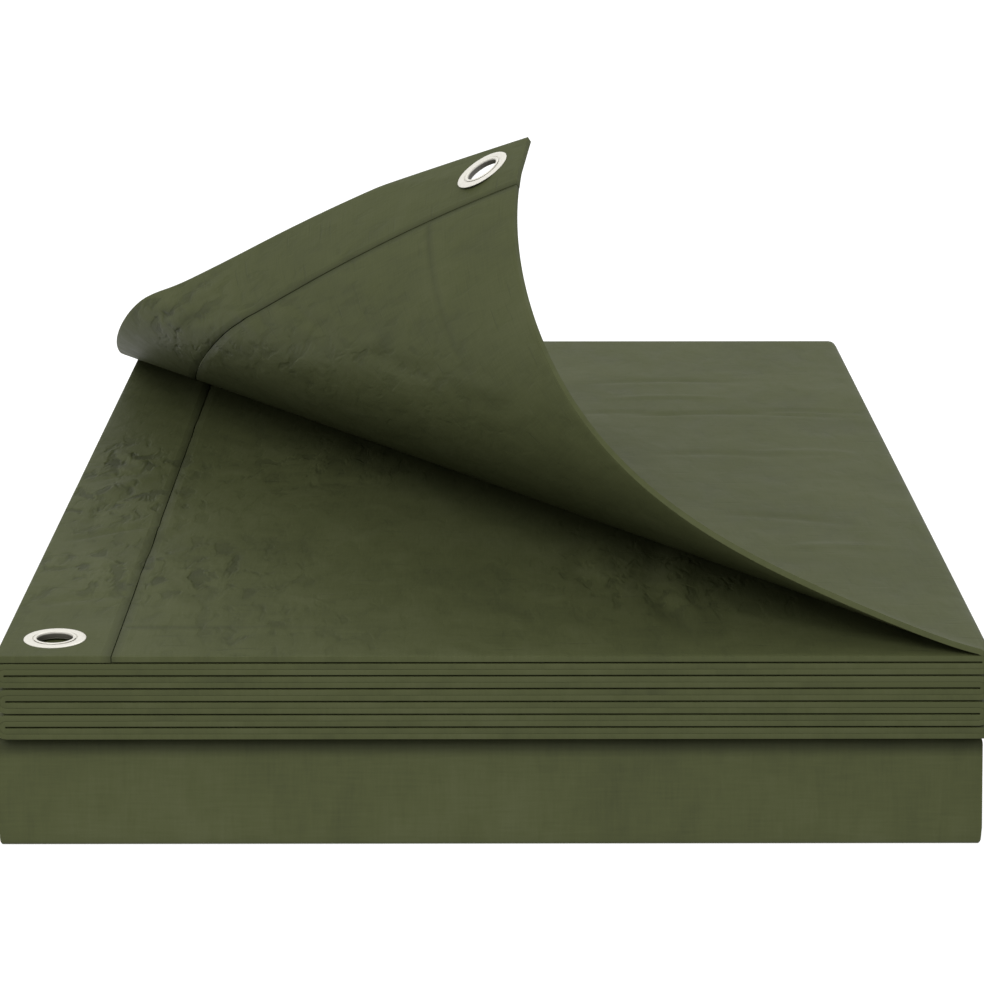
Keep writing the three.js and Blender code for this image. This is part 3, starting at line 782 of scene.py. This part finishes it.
def poly_finish(name, whole_length, seams):
    """Coated woven poly: flat tapes both ways, fine crinkles, press lines and, where "seams" is 1, the
    front hem's seam. Its colour also holds painted shade and highlight where the cloth is crinkled, and
    painted shade on the bundle just under the stack."""
    f = Finish(name)
    uv = f.node("ShaderNodeUVMap", {"uv_map": "cloth"})
    inward = f.node("ShaderNodeSeparateXYZ", None, {0: uv}, output=0)
    along = f.node("ShaderNodeSeparateXYZ", None, {0: uv}, output=1)
    crinkle = f.node("ShaderNodeAttribute", {"attribute_name": "crinkle"}, None, output=2)

    tapes_across = f.noise(f.mapped(uv, (70, 900, 1)), 1.0, 2.0)
    tapes_along = f.noise(f.mapped(uv, (900, 70, 1), offset=(7, 3, 0)), 1.0, 2.0)
    broad = f.noise(f.mapped(uv, (13, 13, 1)), 1.0, 2.0, 0.5, 0.5)
    patchy = f.noise(f.mapped(uv, (60, 34, 1), offset=(2, 5, 0)), 1.0, 2.0, 0.5, 0.6)
    crumple = f.noise(f.mapped(uv, (130, 55, 1), 0.3, (4, 1, 0)), 1.0, 2.0, 0.5, 0.35)
    dents = f.ramp(crumple, [(0.36, 0.0), (0.47, 0.75), (0.6, 1.0)])
    pressed = f.noise(f.mapped(uv, (38, 420, 1), offset=(1, 9, 0)), 1.0, 1.0)
    on_bundle = f.ramp(inward - BUNDLE_BEYOND, [(0.0, 0.0), (0.1, 1.0)])
    press_lines = f.ramp(pressed, [(0.66, 0.0), (0.74, 1.0)]) * (1.0 - on_bundle * 0.7)

    seam_fade = (1.0 - inward / SEAM_FADES_BY).at_least(0.0) * seams
    from_upper_seam = (along - UPPER_SEAM_BACK).size()
    from_lower_seam = (along - (whole_length - LOWER_SEAM_BACK)).size()
    seam_line = f.ramp(from_upper_seam.at_most(from_lower_seam), [(0.0, 1.0), (0.001, 0.0)]) * seam_fade
    hem_edge = f.ramp((inward - HEM * MM).size(), [(0.0004, 1.0), (0.0016, 0.0)])

    # Random tone of the cloth, plus painted shade and painted highlight that grow with the crinkle
    # strength, standing for the crinkles' light and shade.
    tone_and_painted_shading = (broad - 0.5) * 0.8 + (tapes_across - 0.5) * 0.45 + (tapes_along - 0.5) * 0.35
    tone_and_painted_shading = tone_and_painted_shading + (patchy - 0.5) * (0.5 + crinkle * 0.9) + (dents - 0.75) * (0.1 + crinkle * 0.8)
    lighter = f.mix_colour(tone_and_painted_shading.at_least(0.0), OLIVE, OLIVE_LIGHT)
    darker = f.mix_colour((0.0 - tone_and_painted_shading).at_least(0.0), lighter, OLIVE_DARK)
    pressed_tone = f.mix_colour(press_lines * 0.22, darker, OLIVE_DARK)
    # Painted shade on the bundle's wrap, just under the stack's overhang.
    painted_shade_under_stack = f.ramp(along - SHADE_UNDER_STACK_FROM, SHADE_UNDER_STACK_STOPS)
    seamed = f.mix_colour((seam_line * 0.6).at_least(hem_edge * 0.55), pressed_tone, OLIVE_DARK)
    shaded = f.mix_colour(painted_shade_under_stack * 0.55, seamed, OLIVE_SHADE)

    height = (
        tapes_across * 0.00005 + tapes_along * 0.00005
        + broad * 0.0024
        + patchy * (0.0006 + crinkle * 0.0013)
        + dents * (0.0001 + crinkle * 0.0007)
        - press_lines * 0.0001
        - seam_line * 0.0004
        - hem_edge * 0.0006
    )
    bump = f.node("ShaderNodeBump", None, {"Strength": 0.8, "Distance": 1.0, "Height": height})
    shader = f.node("ShaderNodeBsdfPrincipled", None, {
        "Base Color": shaded,
        "Roughness": 0.56 + (patchy - 0.5) * 0.2,
        "Specular IOR Level": 0.06,
        "Normal": bump,
    })
    return f.finish(shader)


def eyelet_finish():
    """Off-white satin metal, with painted shade that darkens the inner wall of the hole."""
    f = Finish("satin eyelet metal")
    where = f.node("ShaderNodeTexCoord", None, None, output=3)
    grain = f.noise(f.mapped(where, (900, 900, 900)), 1.0, 2.0)
    bore = f.node("ShaderNodeAttribute", {"attribute_name": "bore"}, None, output=2)
    clean = f.mix_colour(grain, linear(198, 195, 185), linear(213, 210, 201))
    # Painted shade: the inner wall of the hole is darkened to a dark brown.
    tone_and_painted_shading = f.mix_colour(bore * 0.9, clean, linear(46, 43, 34))
    bump = f.node("ShaderNodeBump", None, {"Strength": 0.15, "Distance": 0.0002, "Height": grain})
    shader = f.node("ShaderNodeBsdfPrincipled", None, {
        "Base Color": tone_and_painted_shading,
        "Metallic": 0.25,
        "Roughness": 0.45 + grain * 0.08,
        "Normal": bump,
    })
    return f.finish(shader)


def dress(piece, material):
    piece.data.materials.clear()
    piece.data.materials.append(material)


def make_tarp():
    whole_length = Section(CLOTH_STEP).length[-1] * MM
    cloth = make_tarp_cloth()
    dress(cloth, poly_finish("olive poly", whole_length, 1.0))
    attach(cloth, "root")
    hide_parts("cloth")

    hem = make_side_hem()
    dress(hem, poly_finish("olive poly hem", whole_length, 0.0))
    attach(hem, "root")
    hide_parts("lower_hem_end", "side_hem", "turned_hem")

    metal = eyelet_finish()
    for which, place in (("lower", lower_eyelet_place()), ("turned", turned_eyelet_place())):
        for part, profile in (("eyelet", eyelet_profile()), ("washer", washer_profile())):
            ring = turned_ring(f"{which}_{part}_ring", profile)
            ring.data.transform(in_metres(place))
            dress(ring, metal)
            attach(ring, "root")
            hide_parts(f"{which}_{part}")


FLOOR_SIZE = 24.0
FLOOR_BACK = 6.0


def make_floor():
    """A plain pale floor that glows a little, so that it looks white from everywhere."""
    bpy.ops.object.select_all(action="DESELECT")
    bpy.ops.mesh.primitive_plane_add(size=FLOOR_SIZE, location=(0, FLOOR_BACK, 0))
    floor = bpy.context.object
    floor.name = "floor"
    f = Finish("pale floor")
    matt = f.node("ShaderNodeBsdfDiffuse", None, {"Color": (0.3, 0.3, 0.3, 1)})
    glow = f.node("ShaderNodeEmission", None, {"Color": (1, 1, 1, 1), "Strength": 0.82})
    both = f.node("ShaderNodeAddShader", None, {0: matt, 1: glow})
    dress(floor, f.finish(both))
    floor.visible_diffuse = False


# The soft lights, in metres and watts.
WORLD_LIGHT = 0.86
LIGHTS = (
    # name, place, aim, size, power
    ("back", (0.9, 1.1, 1.9), (0, 0, 0.05), 1.3, 19.5),
    ("front", (-0.7, -2.0, 1.8), (0, 0, 0.05), 1.2, 41.5),
    ("left", (-1.7, -0.5, 0.7), (-0.1, 0, 0.08), 0.6, 2.2),
)


def make_light(name, place, aim, size, power):
    data = bpy.data.lights.new(name, "AREA")
    data.shape = "DISK"
    data.size = size
    data.energy = power
    light = bpy.data.objects.new(name, data)
    bpy.context.scene.collection.objects.link(light)
    light.location = place
    light.rotation_euler = (Vector(aim) - Vector(place)).to_track_quat("-Z", "Y").to_euler()


def make_lights():
    world = bpy.data.worlds.new("soft studio")
    world.use_nodes = True
    background = world.node_tree.nodes["Background"]
    background.inputs["Color"].default_value = (1, 1, 1, 1)
    background.inputs["Strength"].default_value = WORLD_LIGHT
    bpy.context.scene.world = world
    for name, place, aim, size, power in LIGHTS:
        make_light(name, place, aim, size, power)
    bpy.context.scene.view_settings.view_transform = "Standard"


CAMERA_PLACE = (-0.0046, -1.3929, 0.4465)
CAMERA_DOWN = 15.26
CAMERA_TURN = -0.18
CAMERA_LENS = 113.4


def make_camera():
    data = bpy.data.cameras.new("photo view")
    data.lens = CAMERA_LENS
    data.sensor_width = 36
    data.clip_end = 60
    camera = bpy.data.objects.new("photo view", data)
    bpy.context.scene.collection.objects.link(camera)
    camera.location = CAMERA_PLACE
    camera.rotation_euler = (math.radians(90 - CAMERA_DOWN), 0, math.radians(CAMERA_TURN))
    bpy.context.scene.camera = camera


make_camera()
make_tarp()
make_floor()
make_lights()
